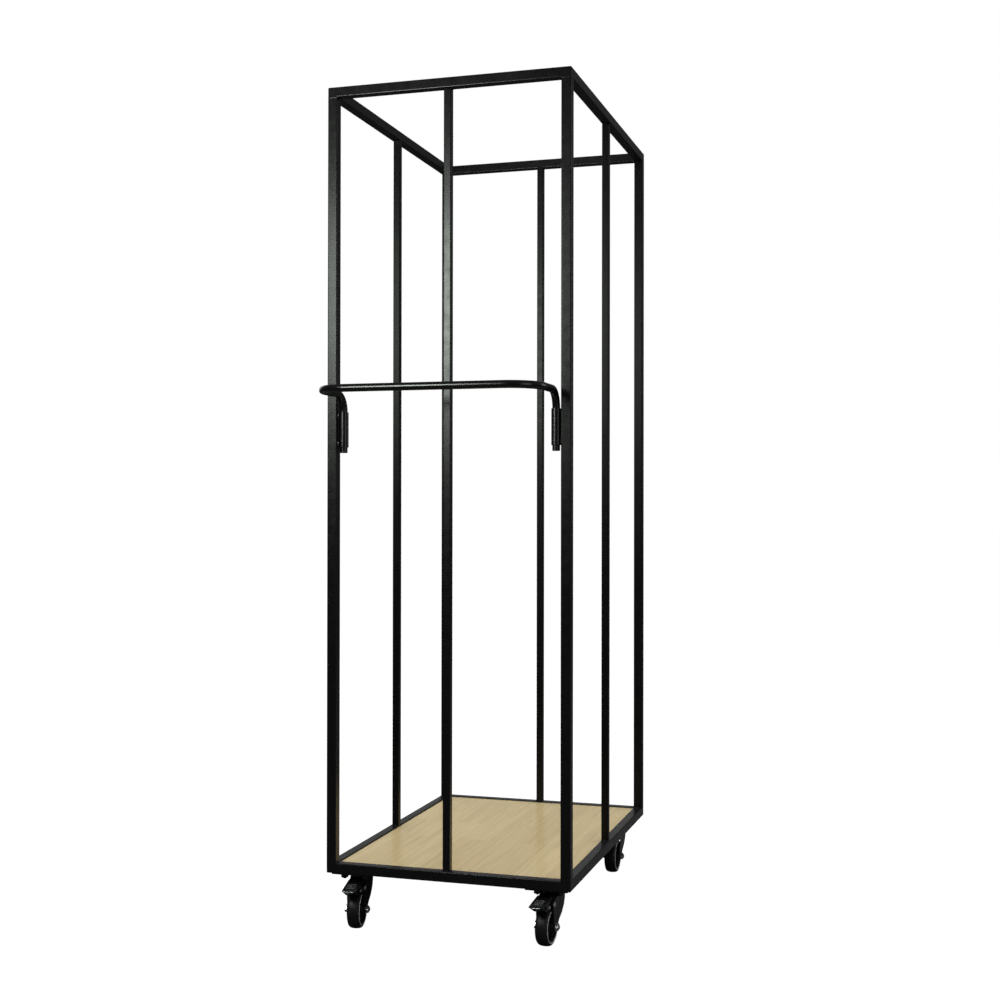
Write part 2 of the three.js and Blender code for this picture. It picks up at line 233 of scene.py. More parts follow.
def weld_bead(bm, start, end, radius, flat=None, squash=1.0):
    """A run of overlapping weld ripples between two points. Squash thins a ground-off bead in
    the direction flat."""
    start, end = Vector(start), Vector(end)
    along = (end - start).normalized()
    length = (end - start).length
    side = Vector(flat).normalized() if flat else along.orthogonal().normalized()
    up = along.cross(side)
    ripple = 0.8 * radius
    count = max(4, int(length / ripple * 3))
    rings = []
    for i in range(count + 1):
        t = i / count
        taper = math.sqrt(max(0.04, 1 - abs(2 * t - 1) ** 6))
        wave = 0.88 + 0.12 * abs(math.cos(math.pi * t * length / ripple))
        size = radius * taper * wave * dice.uniform(0.96, 1.04)
        point = start.lerp(end, t)
        rings.append([
            point + side * x * squash + up * y
            for x, y in circle((0, 0), size, 10)
        ])
    loft(bm, rings)


def hexagon_nut(bm, flats, height, place, washer=0.0):
    """A chamfered hexagon, closed on top, standing on an optional washer face."""
    inner = flats / 2
    face = inner * 0.93
    chamfer = math.tan(math.radians(30))
    steps = 36
    rings = [[], [], [], []]
    for i in range(steps):
        angle = 2 * math.pi * i / steps
        edge = inner / math.cos((angle + math.pi / 6) % (math.pi / 3) - math.pi / 6)
        drop = (edge - inner * 0.98) * chamfer
        radii = (face, edge, edge, face)
        levels = (0, drop, height - drop, height)
        for ring, radius, z in zip(rings, radii, levels):
            x, y = radius * math.cos(angle), radius * math.sin(angle)
            ring.append(place @ Vector((x, y, z + washer)))
    loft(bm, rings)
    if washer > 0:
        prism(bm, circle((0, 0), inner * 1.18, 32), 0, washer, washer * 0.3, place)


def threaded_stud(bm, radius, low, high, place):
    """A stud with thread ridges and a chamfered end at its low side."""
    pitch, chamfer, depth = 1.25, 1.0, 0.45
    profile = [(0, low), (radius - chamfer, low)]
    z = low + 0.6
    while z < high - pitch:
        profile += [(radius - depth, z), (radius, z + pitch / 2)]
        z += pitch
    profile += [(radius - 0.4, high), (0, high)]
    lathe(bm, profile, 20, place)


def dome(bm, radius, height, place, recess=0.0):
    """A rivet head standing on z = 0; a recess leaves the dimple of the rivet tool."""
    sunk, rim = -0.5, 0.3
    profile = [(0, sunk), (radius, sunk), (radius, rim)]
    for degrees in (20, 40, 58, 72):
        angle = math.radians(degrees)
        profile.append((radius * math.cos(angle), rim + (height - rim) * math.sin(angle)))
    profile += [(radius * 0.2, height - recess * 0.4), (0, height - recess)]
    lathe(bm, profile, 24, place)


# ---------- pieces ----------

def shades_smooth(edge, limit):
    """Whether shading runs on across an edge. It stops where a broad flat face meets a narrow
    rounding, so that the flat face stays flat."""
    if not edge.is_manifold:
        return False
    angle = edge.calc_face_angle(0)
    narrow, broad = sorted(face.calc_area() for face in edge.link_faces)
    flat_border = broad > 6 * narrow and angle > math.radians(8)
    return angle < limit and not flat_border


def make_piece(name, bm, material, body, stands_for=(), sharp=32.0):
    """Turns millimetre solids into a named piece that rides on a body."""
    bmesh.ops.remove_doubles(bm, verts=bm.verts, dist=1e-4)
    bmesh.ops.dissolve_degenerate(bm, edges=bm.edges, dist=1e-4)
    bmesh.ops.recalc_face_normals(bm, faces=bm.faces)
    bmesh.ops.scale(bm, vec=(MM, MM, MM), verts=bm.verts)
    for edge in bm.edges:
        edge.smooth = shades_smooth(edge, math.radians(sharp))
    for face in bm.faces:
        face.smooth = True
    mesh = bpy.data.meshes.new(name)
    bm.to_mesh(mesh)
    bm.free()
    mesh.materials.append(material)
    piece = bpy.data.objects.new(name, mesh)
    scene.collection.objects.link(piece)
    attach(piece, body)
    if stands_for:
        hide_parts(*stands_for)
    return piece


def box_mm(node):
    low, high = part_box(node)
    return low / MM, high / MM


# ---------- material nodes ----------

class Nodes:
    """A short way to write a material's node tree."""

    def __init__(self, name):
        self.material = bpy.data.materials.new(name)
        self.material.use_nodes = True
        self.tree = self.material.node_tree
        self.shader = self.tree.nodes["Principled BSDF"]
        self.place = self.add("ShaderNodeTexCoord").outputs["Object"]

    def add(self, kind, inputs=None, **settings):
        node = self.tree.nodes.new(kind)
        for key, value in settings.items():
            setattr(node, key, value)
        for key, value in (inputs or {}).items():
            self.feed(node.inputs[key], value)
        return node

    def feed(self, socket, value):
        if isinstance(value, bpy.types.NodeSocket):
            self.tree.links.new(value, socket)
        else:
            socket.default_value = value

    def stretched(self, scale, vector=None, rotation=(0, 0, 0)):
        inputs = {"Vector": vector or self.place, "Scale": scale, "Rotation": rotation}
        return self.add("ShaderNodeMapping", inputs).outputs["Vector"]

    def noise(self, scale, detail=3.0, vector=None, distortion=0.0):
        return self.add("ShaderNodeTexNoise", {
            "Vector": vector or self.place,
            "Scale": scale,
            "Detail": detail,
            "Distortion": distortion,
        }).outputs["Fac"]

    def ramp(self, value, low, high, to_low=0.0, to_high=1.0):
        return self.add("ShaderNodeMapRange", {
            "Value": value,
            "From Min": low,
            "From Max": high,
            "To Min": to_low,
            "To Max": to_high,
        }).outputs["Result"]

    def mix(self, factor, a, b):
        node = self.add("ShaderNodeMix", data_type="RGBA")
        self.feed(node.inputs[0], factor)
        self.feed(node.inputs[6], a)
        self.feed(node.inputs[7], b)
        return node.outputs[2]

    def times(self, a, b):
        node = self.add("ShaderNodeMath", operation="MULTIPLY")
        self.feed(node.inputs[0], a)
        self.feed(node.inputs[1], b)
        return node.outputs[0]

    def tint(self, colour, mask, share, towards):
        """Mixes a share of another colour in where the mask is 1."""
        return self.mix(self.times(mask, share), colour, towards)

    def bump(self, height, strength, distance, normal=None):
        inputs = {"Height": height, "Strength": strength, "Distance": distance}
        if normal:
            inputs["Normal"] = normal
        return self.add("ShaderNodeBump", inputs).outputs["Normal"]

    def surface(self, **values):
        names = {
            "colour": "Base Color",
            "roughness": "Roughness",
            "metallic": "Metallic",
            "normal": "Normal",
            "specular": "Specular IOR Level",
            "glow": "Emission Strength",
            "glow_colour": "Emission Color",
        }
        for key, value in values.items():
            self.feed(self.shader.inputs[names[key]], value)
        return self.material


def grey(level, warm=0.0):
    """A grey; a warm share above 0 leans it to red, and below 0 to blue."""
    return (level * (1 + warm), level, level * (1 - warm), 1.0)


def coated_steel(name, dark, light, rough, peel, specular):
    """Powder coat: a fine orange peel, cloudy gloss, and a little pale dust."""
    n = Nodes(name)
    cloud = n.noise(9.0, 4.0)
    speck = n.ramp(n.noise(620.0, 2.0), 0.68, 0.78)
    tone = n.mix(n.ramp(cloud, 0.3, 0.7), grey(dark, -0.03), grey(light, -0.05))
    colour = n.tint(tone, speck, 0.35, grey(light * 2.6))
    roughness = n.ramp(n.noise(55.0, 5.0), 0.3, 0.7, rough - 0.03, rough + 0.04)
    coarse = n.bump(n.noise(420.0, 2.0), peel, 0.00035)
    normal = n.bump(n.noise(1500.0, 2.0), peel * 0.7, 0.00012, coarse)
    return n.surface(colour=colour, roughness=roughness, normal=normal, specular=specular)


def zinc_plate(name):
    """Bright zinc: metal with fine drawn lines and cloudy patches."""
    n = Nodes(name)
    cloud = n.ramp(n.noise(160.0, 4.0), 0.3, 0.7)
    colour = n.mix(cloud, (0.62, 0.64, 0.63, 1), (0.78, 0.80, 0.79, 1))
    roughness = n.ramp(n.noise(420.0, 3.0), 0.3, 0.7, 0.24, 0.42)
    lines = n.noise(900.0, 2.0, n.stretched((1.0, 1.0, 0.1)))
    drawn = n.bump(lines, 0.12, 0.0001)
    return n.surface(colour=colour, roughness=roughness, metallic=1.0, normal=drawn)


def moulded_plastic(name, level, rough):
    """Moulded nylon with a spark-eroded grain."""
    n = Nodes(name)
    colour = n.mix(n.ramp(n.noise(60.0, 4.0), 0.3, 0.7), grey(level * 0.8), grey(level * 1.25))
    roughness = n.ramp(n.noise(300.0, 3.0), 0.3, 0.7, rough - 0.06, rough + 0.08)
    grain = n.bump(n.noise(2200.0, 2.0), 0.2, 0.0001)
    return n.surface(colour=colour, roughness=roughness, normal=grain, specular=0.35)


def rubber(name):
    """Tyre rubber: dusty, faintly scuffed, with a dull sheen."""
    n = Nodes(name)
    dust = n.ramp(n.noise(95.0, 6.0, distortion=0.6), 0.45, 0.8)
    scuff = n.ramp(n.noise(700.0, 3.0), 0.55, 0.75)
    tone = n.mix(dust, grey(0.012, -0.03), grey(0.024, -0.01))
    colour = n.tint(tone, scuff, 0.4, grey(0.040))
    roughness = n.ramp(n.noise(240.0, 4.0), 0.3, 0.7, 0.36, 0.52)
    pores = n.bump(n.noise(1900.0, 3.0), 0.25, 0.00012)
    return n.surface(colour=colour, roughness=roughness, normal=pores, specular=0.4)


def strip_wood(name):
    """A lacquered board of narrow beech staves along Y, each with its own tone and figure."""
    n = Nodes(name)
    quarter_turn = (0, 0, math.pi / 2)
    staves = n.add("ShaderNodeTexBrick", {
        "Vector": n.stretched((1, 1, 1), rotation=quarter_turn),
        "Color1": (0, 0, 0, 1),
        "Color2": (1, 1, 1, 1),
        "Mortar": (0.5, 0.5, 0.5, 1),
        "Scale": 1.0,
        "Mortar Size": 0.0004,
        "Mortar Smooth": 0.3,
        "Bias": 0.0,
        "Brick Width": 0.41,
        "Row Height": 0.064,
    }, offset=0.37, offset_frequency=2, squash=1.0)
    tone = staves.outputs["Color"]
    joint = staves.outputs["Fac"]
    shift = n.add("ShaderNodeCombineXYZ", {"X": n.times(tone, 7.3), "Y": n.times(tone, 3.1)})
    moved = n.add("ShaderNodeVectorMath", operation="ADD")
    n.feed(moved.inputs[0], n.place)
    n.feed(moved.inputs[1], shift.outputs[0])
    own = moved.outputs[0]
    along = n.stretched((1.0, 0.035, 1.0), own)
    fibre = n.noise(620.0, 5.0, along)
    streak = n.noise(150.0, 4.0, along, 0.4)
    flame = n.add("ShaderNodeTexWave", {
        "Vector": n.stretched((1.0, 0.10, 1.0), own),
        "Scale": 15.0,
        "Distortion": 7.0,
        "Detail": 3.0,
        "Detail Scale": 1.6,
    }, wave_type="RINGS", rings_direction="SPHERICAL").outputs["Fac"]
    fleck = n.noise(1500.0, 2.0, n.stretched((1.0, 0.2, 1.0), own))
    colour = n.mix(tone, (0.560, 0.440, 0.228, 1), (0.635, 0.510, 0.275, 1))
    colour = n.tint(colour, n.ramp(flame, 0.3, 0.9), 0.04, (0.43, 0.34, 0.18, 1))
    colour = n.tint(colour, n.ramp(streak, 0.42, 0.66), 0.36, (0.40, 0.30, 0.145, 1))
    colour = n.tint(colour, n.ramp(fibre, 0.35, 0.7), 0.22, (0.42, 0.33, 0.17, 1))
    colour = n.tint(colour, n.ramp(fleck, 0.62, 0.74), 0.12, (0.33, 0.24, 0.12, 1))
    colour = n.tint(colour, joint, 0.35, (0.24, 0.17, 0.09, 1))
    roughness = n.ramp(n.noise(12.0, 3.0), 0.3, 0.7, 0.20, 0.24)
    pores = n.bump(n.times(fibre, -1.0), 0.06, 0.0002)
    normal = n.bump(n.times(joint, -1.0), 0.2, 0.0003, pores)
    return n.surface(colour=colour, roughness=roughness, normal=normal, specular=0.5)


def board_core(name):
    """The brown edge of the board under its lacquered face."""
    n = Nodes(name)
    layers = n.noise(500.0, 4.0, n.stretched((0.1, 0.1, 1.0)))
    colour = n.mix(n.ramp(layers, 0.3, 0.7), (0.10, 0.045, 0.02, 1), (0.19, 0.10, 0.05, 1))
    return n.surface(colour=colour, roughness=0.75, normal=n.bump(layers, 0.3, 0.0003))


powder_coat = coated_steel(
    "powder_coat", dark=0.0062, light=0.0092, rough=0.27, peel=0.022, specular=0.34)
# The duller copy of the coat below is painted shade: it darkens the side and rear posts where the
# light falls off, and is not a second finish on the rack.
painted_shade_coat = coated_steel(
    "painted_shade_coat", dark=0.0062, light=0.0092, rough=0.30, peel=0.022, specular=0.14)
handle_gloss = coated_steel(
    "handle_gloss", dark=0.0036, light=0.0050, rough=0.25, peel=0.0, specular=0.62)
caster_black = coated_steel(
    "caster_black", dark=0.0046, light=0.0075, rough=0.27, peel=0.03, specular=0.55)
deck_wood = strip_wood("deck_wood")
deck_core = board_core("deck_core")
zinc = zinc_plate("zinc")
wheel_plastic = moulded_plastic("wheel_plastic", level=0.012, rough=0.42)
# The near-white ring plastic is partly painted highlight: the small ridge round each rim edge is
# real, and its near-white colour stands for the light its gloss catches.
painted_highlight_ring = moulded_plastic("painted_highlight_ring", level=0.85, rough=0.2)
tyre_rubber = rubber("tyre_rubber")


# ---------- cage ----------

SIDES = {"front": 0, "right": 1, "rear": 2, "left": 3}


def rail_frame(node, turns):
    """A rail's length, its side and the placing of its own frame: X along it, Y from its outer
    face inwards. Turns counts quarter turns from the front."""
    low, high = box_mm(node)
    middle = (low + high) / 2
    along = turns % 2
    outer_x = [middle.x, high.x, middle.x, low.x][turns]
    outer_y = [low.y, middle.y, high.y, middle.y][turns]
    turn = Matrix.Rotation(turns * math.pi / 2, 4, "Z")
    place = Matrix.Translation((outer_x, outer_y, middle.z)) @ turn
    return high[along] - low[along], high.z - low.z, place


def rail_solid(bm, length, side, place):
    """A mitred rail whose outer corners are rounded in plan as well as in section."""
    section = [(y + side / 2, z) for y, z in square_section(side, TUBE_ROUND)]
    rings = []
    for end, degrees in ((-1, 45), (-1, 22.5), (-1, 0), (1, 0), (1, 22.5), (1, 45)):
        swing = math.radians(degrees)
        ring = []
        for y, z in section:
            reach = length / 2 - max(y, TUBE_ROUND)
            depth = y
            if y < TUBE_ROUND:
                reach = length / 2 - TUBE_ROUND + (TUBE_ROUND - y) * math.sin(swing)
                depth = TUBE_ROUND - (TUBE_ROUND - y) * math.cos(swing)
            ring.append(place @ Vector((end * reach, depth, z)))
        rings.append(ring)
    loft(bm, rings)


def make_rails():
    for level in ("base_rail", "top_rail"):
        for name, turns in SIDES.items():
            node = f"{level}_{name}"
            length, side, place = rail_frame(node, turns)
            bm = bmesh.new()
            rail_solid(bm, length, side, place)
            make_piece(f"tube_{node}", bm, powder_coat, "frame", [node])


def make_post(node, corner_round, coat):
    """An upright tube whose ends run on into the rounded edges of the rails."""
    low, high = box_mm(node)
    middle = (low + high) / 2
    section = square_section(high.x - low.x, corner_round)
    run_in = 40
    rings = []
    for z in (low.z - TUBE_ROUND, low.z + run_in, high.z - run_in, high.z + TUBE_ROUND):
        rings.append([Vector((middle.x + x, middle.y + y, z)) for x, y in section])
    bm = bmesh.new()
    loft(bm, rings)
    make_piece(f"tube_{node}", bm, coat, "frame", [node])


def make_posts():
    """The posts of the front carry the coat that mirrors the key light. The side and rear posts
    carry a duller copy of the same coat, which is painted shade for where the light falls off,
    not a second finish.
    """
    for place in STEER:
        coat = powder_coat if place.startswith("front") else painted_shade_coat
        make_post(f"corner_post_{place}", TUBE_ROUND, coat)
    for name in SIDES:
        coat = powder_coat if name == "front" else painted_shade_coat
        make_post(f"mid_post_{name}", SLIM_ROUND, coat)


def foot_welds(bm, node, z, side_x, side_y):
    """Fillets round the foot or head of a post. Side_x and side_y name the face of each pair
    that is welded: 1 is the high one, -1 the low one, and 0 both."""
    low, high = box_mm(node)
    faces_x = {1: [high.x], -1: [low.x], 0: [low.x, high.x]}[side_x]
    faces_y = {1: [high.y], -1: [low.y], 0: [low.y, high.y]}[side_y]
    inset, bead = 2, 1.9
    for x in faces_x:
        weld_bead(bm, (x, low.y + inset, z), (x, high.y - inset, z), bead)
    for y in faces_y:
        weld_bead(bm, (low.x + inset, y, z), (high.x - inset, y, z), bead)


def ground_seams(bm, node, z, inner_x, inner_y):
    """The low, ground-off beads on the outer faces of a corner."""
    low, high = box_mm(node)
    x = low.x if inner_x > 0 else high.x
    y = low.y if inner_y > 0 else high.y
    inset, bead, flatness = 1.5, 1.7, 0.2
    weld_bead(bm, (low.x + inset, y, z), (high.x - inset, y, z), bead, (0, 1, 0), flatness)
    weld_bead(bm, (x, low.y + inset, z), (x, high.y - inset, z), bead, (1, 0, 0), flatness)


def mitre_seam(bm, node, z, inner_x, inner_y):
    """The ground seam across a mitred corner, on the free face of the rails at height z."""
    low, high = box_mm(node)
    if inner_x < 0:
        low.x, high.x = high.x, low.x
    if inner_y < 0:
        low.y, high.y = high.y, low.y
    start = Vector((low.x, low.y, z))
    end = Vector((high.x, high.y, z))
    bead, flatness = 1.8, 0.18
    weld_bead(bm, start.lerp(end, 0.1), start.lerp(end, 0.95), bead, (0, 0, 1), flatness)


def make_welds():
    for level in ("base_rail", "top_rail"):
        bm = bmesh.new()
        low, high = box_mm(f"{level}_front")
        post_z, free_z = (high.z, low.z) if level == "base_rail" else (low.z, high.z)
        for place in STEER:
            node = f"corner_post_{place}"
            inner_y = 1 if place.startswith("front") else -1
            inner_x = 1 if place.endswith("left") else -1
            foot_welds(bm, node, post_z, inner_x, inner_y)
            ground_seams(bm, node, post_z, inner_x, inner_y)
            mitre_seam(bm, node, free_z, inner_x, inner_y)
        for name in SIDES:
            outer = -1 if name in ("front", "left") else 1
            outer_x, outer_y = (0, outer) if name in ("front", "rear") else (outer, 0)
            foot_welds(bm, f"mid_post_{name}", post_z, outer_x, outer_y)
        make_piece(f"welds_{level}s", bm, powder_coat, "frame")


# ---------- board ----------

def make_deck():
    """The board; its lacquer covers only the top and the upper edge."""
    low, high = box_mm("deck_board")
    bm = bmesh.new()
    prism(bm, rounded(rectangle(low, high), 2.0), low.z, high.z, 0.8)
    board = make_piece("strip_board", bm, deck_wood, "frame", ["deck_board"])
    board.data.materials.append(deck_core)
    skin = (high.z - 1.0) * MM
    for face in board.data.polygons:
        if face.center.z < skin:
            face.material_index = 1


# ---------- push handle ----------

def quarter_bend(start, from_way, to_way, radius, steps):
    """Points and tangents of a path that turns from one way to another."""
    stations = []
    for i in range(steps + 1):
        angle = math.pi / 2 * i / steps
        ahead, aside = math.sin(angle), 1 - math.cos(angle)
        point = start + from_way * radius * ahead + to_way * radius * aside
        tangent = from_way * math.cos(angle) + to_way * math.sin(angle)
        stations.append((point, tangent))
    return stations


def handle_stations():
    low, high = box_mm("push_handle")
    radius = HANDLE["radius"]
    left_x, right_x = low.x + radius, high.x - radius
    bar_y, leg_y = low.y + radius, high.y - radius
    bar_z = high.z - radius
    end_z = low.z + 0.8
    bend, corner = HANDLE["leg_bend"], HANDLE["corner_bend"]
    up, forward, right = Vector((0, 0, 1)), Vector((0, -1, 0)), Vector((1, 0, 0))
    run = [(Vector((left_x, leg_y, end_z)), up)]
    run += quarter_bend(Vector((left_x, leg_y, bar_z - bend)), up, forward, bend, 12)
    run += quarter_bend(Vector((left_x, bar_y + corner, bar_z)), forward, right, corner, 18)
    middle = Vector(((left_x + right_x) / 2, bar_y, bar_z))
    run += [(middle, right)]
    run += quarter_bend(Vector((right_x - corner, bar_y, bar_z)), right, -forward, corner, 18)
    run += quarter_bend(Vector((right_x, leg_y - bend, bar_z)), -forward, -up, bend, 12)
    run += [(Vector((right_x, leg_y, end_z)), -up)]
    return carry_sides(run)


def carry_sides(run):
    """Adds a side and an up direction to each station, turned as little as possible."""
    side = Vector((1, 0, 0))
    stations = []
    for point, tangent in run:
        side = (side - tangent * side.dot(tangent)).normalized()
        stations.append((point, side, tangent.cross(side)))
    return stations


def make_handle():
    bm = bmesh.new()
    pipe(bm, handle_stations(), HANDLE["radius"], HANDLE["bore"], 32, 0.7)
    make_piece("push_bar", bm, handle_gloss, "push_handle", ["push_handle"])


def make_socket(name, side):
    """A sleeve with rounded rims and the four short welds that hold it to its post."""
    low, high = box_mm(name)
    centre_y = (low.y + high.y) / 2
    axis_x = low.x + SLEEVE["radius"] if side > 0 else high.x - SLEEVE["radius"]
    post_x = high.x if side > 0 else low.x
    up = Vector((0, 0, 1))
    lip = 0.6
    run = [(Vector((axis_x, centre_y, z)), up) for z in (low.z + lip, high.z - lip)]
    bm = bmesh.new()
    pipe(bm, carry_sides(run), SLEEVE["radius"], SLEEVE["bore"], 40, lip)
    weld_x = (post_x + axis_x + side * SLEEVE["radius"]) / 2 + side * 0.2
    lug = rounded(rectangle((-1.6, -3), (1.6, 3)), 0.5)
    lug_place = Matrix.Translation((weld_x, centre_y, 0))
    for bottom, top in ((low.z + 2, low.z + 13), (high.z - 13, high.z - 2)):
        for y in (centre_y - 3.4, centre_y + 3.4):
            weld_bead(bm, (weld_x, y, bottom), (weld_x, y, top), 2.3)
        prism(bm, lug, bottom, top, 0.6, lug_place)
    make_piece(f"sleeve_{name}", bm, handle_gloss, "frame", [name])


# ---------- casters ----------

def caster_axis(place):
    """The origin of a caster's own frame."""
    low, high = box_mm(f"kingpin_{place}")
    plate_top = box_mm(f"caster_plate_{place}")[1].z
    return Vector(((low.x + high.x) / 2, (low.y + high.y) / 2, plate_top))


def steered(place, at):
    """The caster's own frame, turned as the caster stands at rest."""
    return Matrix.Translation(at) @ Matrix.Rotation(math.radians(STEER[place]), 4, "Z")


def centred_outline(node, radius, steps=4):
    """The plan of a node's box about its middle, with rounded corners, and its half sizes."""
    low, high = box_mm(node)
    half_x, half_y = (high.x - low.x) / 2, (high.y - low.y) / 2
    corners = rectangle((-half_x, -half_y), (half_x, half_y))
    return rounded(corners, radius, steps), half_x, half_y


def make_mount_plate(place, at):
    """The plate under a corner, with two weld runs along each of its outer edges."""
    node = f"mount_plate_{place}"
    outline, half_x, half_y = centred_outline(node, 1.5)
    thickness = box_mm(node)[1].z - at.z
    bm = bmesh.new()
    prism(bm, outline, 0, thickness, 0.5, Matrix.Translation(at))
    x = at.x + half_x * (1 if place.endswith("right") else -1)
    y = at.y + half_y * (-1 if place.startswith("front") else 1)
    z = at.z + thickness + 0.4
    bead = 2.0
    for start, end in ((-36, -12), (12, 36)):
        weld_bead(bm, (x, at.y + start, z), (x, at.y + end, z), bead)
    for start, end in ((-26, -6), (6, 26)):
        weld_bead(bm, (at.x + start, y, z), (at.x + end, y, z), bead)
    make_piece(f"weld_plate_{place}", bm, powder_coat, "frame", [node])


def make_nuts(place, at):
    """Four studs that come down through the top plate, each with a flanged nut below it."""
    bm = bmesh.new()
    upside_down = Matrix.Rotation(math.pi, 4, "X")
    for i in (-1, 1):
        for j in (-1, 1):
            spot = at + Vector((i * STUD_SPACING[0] / 2, j * STUD_SPACING[1] / 2, 0))
            seat = Matrix.Translation(spot - Vector((0, 0, PLATE_THICKNESS)))
            turn = Matrix.Rotation(dice.uniform(0, math.pi / 3), 4, "Z")
            hexagon_nut(bm, 13.0, 5.4, seat @ upside_down @ turn, 1.1)
            threaded_stud(bm, STUD_RADIUS, -11.5, -2.0, Matrix.Translation(spot))
    make_piece(f"stud_nuts_{place}", bm, caster_black, "frame")


def make_top_plate(place, at):
    """The caster's top plate with the pressed cup of its swivel race."""
    node = f"caster_plate_{place}"
    here = Matrix.Translation(at)
    outline = centred_outline(node, 8.0, 8)[0]
    bm = bmesh.new()
    prism(bm, outline, -PLATE_THICKNESS, -0.05, 0.6, here)
    cup = [(9.2, -2.6), (9.2, -5.9), (20.5, -5.9), (23, -4.2), (24.2, -2.6)]
    lathe(bm, rounded(cup, [0, 0.8, 1.6, 1.6, 0], 4), 48, here)
    make_piece(f"top_plate_{place}", bm, caster_black, "frame", [node])


def make_kingpin(place, at):
    bm = bmesh.new()
    head = [
        (0, -13.4), (7.6, -13.4), (9, -13.9), (9, -15.2), (8.2, -16.3),
        (6.2, -17.1), (3.0, -17.3), (2.0, -16.6), (0, -16.5),
    ]
    lathe(bm, head, 36, Matrix.Translation(at))
    shank = [(0, -0.6), (4.9, -0.6), (4.9, -13.6), (0, -13.6)]
    lathe(bm, shank, 24, Matrix.Translation(at))
    make_piece(f"rivet_{place}", bm, zinc, "frame", [f"kingpin_{place}"])


def make_ball_race(place, at):
    bm = bmesh.new()
    here = Matrix.Translation(at)
    cage = rounded(rectangle((13.2, -8.6), (19.8, -7.4)), 0.3, 3)
    lathe(bm, cage, 48, here)
    ball_count, ball_radius, race_radius, race_z = 18, 1.6, 16.5, -8.0
    for i in range(ball_count):
        angle = 2 * math.pi * i / ball_count
        x, y = race_radius * math.cos(angle), race_radius * math.sin(angle)
        ball = here @ Matrix.Translation((x, y, race_z))
        bmesh.ops.create_uvsphere(
            bm, u_segments=12, v_segments=8, radius=ball_radius, matrix=ball)
    make_piece(f"balls_{place}", bm, zinc, f"caster_{place}", [f"ball_ring_{place}"])


def leg_outline(brake):
    """One leg of the fork in the caster's Y and Z, from the crown down to the axle boss."""
    if brake:
        front = [(-24, -12.2), (-40, -15.0), (-49, -17.1)]
        front += arc(PEDAL_PIVOT, 8.0, 97, 225, 12)
        front += [(-52.5, -38), (-50.8, -52)]
    else:
        front = [(-22, -12), (-31, -22), (-45, -42), (-50, -56)]
    boss = arc((-TRAIL, WHEEL_Z), 9.0, 172, 338, 16)
    back = [(-20, -60), (-4, -51), (8, -39), (14, -26)]
    top = [(15, -11.5), (12, -10.3), (-14, -10.3)]
    return rounded(front + boss + back + top, 1.2, 2)


def make_fork(place, at, brake):
    """Pressed steel: a round crown with a raised rim, and two legs with a pressed rib each."""
    here = steered(place, at)
    bm = bmesh.new()
    crown = [
        (5.4, -13), (23.2, -13), (25, -11.6), (25, -8.0),
        (24.2, -7.2), (23.0, -7.6), (22.6, -10), (5.4, -10),
    ]
    lathe(bm, rounded(crown, [0.4, 1.6, 1.2, 0.6, 0.5, 0.5, 1.0, 0.4], 3), 56, here)
    leg = leg_outline(brake)
    rib = [(-10, -20), (-2, -30), (-22, -55), (-36, -61), (-41, -56), (-24, -38)]
    rib = rounded(rib, 3.5, 4)
    skirt = rounded([(-24, -30), (-22, -30), (-21.5, -12.4), (-24.5, -12.4)], 0.6, 3)
    skirt_end = LEG_INNER + 0.4
    prism(bm, skirt, -skirt_end, skirt_end, 0.3, along_x(here))
    for side in (-1, 1):
        low, high = sorted((side * LEG_INNER, side * LEG_OUTER))
        prism(bm, leg, low, high, 0.55, along_x(here))
        low, high = sorted((side * (LEG_OUTER - 0.6), side * (LEG_OUTER + 0.22)))
        prism(bm, rib, low, high, 0.4, along_x(here))
        fold_ends = [Vector((side * (LEG_OUTER - 0.4), y, -13.0)) for y in (-20, 14)]
        fold_fillet(bm, here, side, fold_ends)
    make_piece(f"fork_plate_{place}", bm, caster_black, f"caster_{place}",
               [f"fork_{place}"])


def fold_fillet(bm, here, side, ends):
    """The round inside corner where a leg is folded down from the crown."""
    radius = 3.2
    corner = [(0, 0), (side * radius, 0)]
    for degrees in (20, 40, 60, 80):
        angle = math.radians(degrees)
        x = side * (radius - radius * math.sin(angle))
        corner.append((x, -radius * (1 - math.cos(angle))))
    corner.append((0, -radius))
    rings = []
    for end in ends:
        rings.append([here @ (end + Vector((x, 0, z))) for x, z in corner])
    loft(bm, rings)


def make_axle(place, at):
    """Axle bolt: a head and washer on one side, a lock nut and the thread end on the other."""
    centre = steered(place, at) @ Matrix.Translation((0, -TRAIL, WHEEL_Z))
    seat = Matrix.Translation((0, 0, LEG_OUTER + 0.3))
    bm = bmesh.new()
    for side in (-1, 1):
        hexagon_nut(bm, 12.8, 4.2, centre @ facing_x(side) @ seat, 1.2)
    shank = [(0, -20), (3.9, -20), (3.9, 25.6), (3.2, 26.2), (0, 26.2)]
    lathe(bm, shank, 24, centre @ facing_x(1))
    make_piece(f"axle_bolt_{place}", bm, zinc, f"caster_{place}", [f"axle_{place}"])


def wheel_place(place, at):
    """The wheel's centre, with Z along its axle."""
    return steered(place, at) @ Matrix.Translation((0, -TRAIL, WHEEL_Z)) @ facing_x(1)


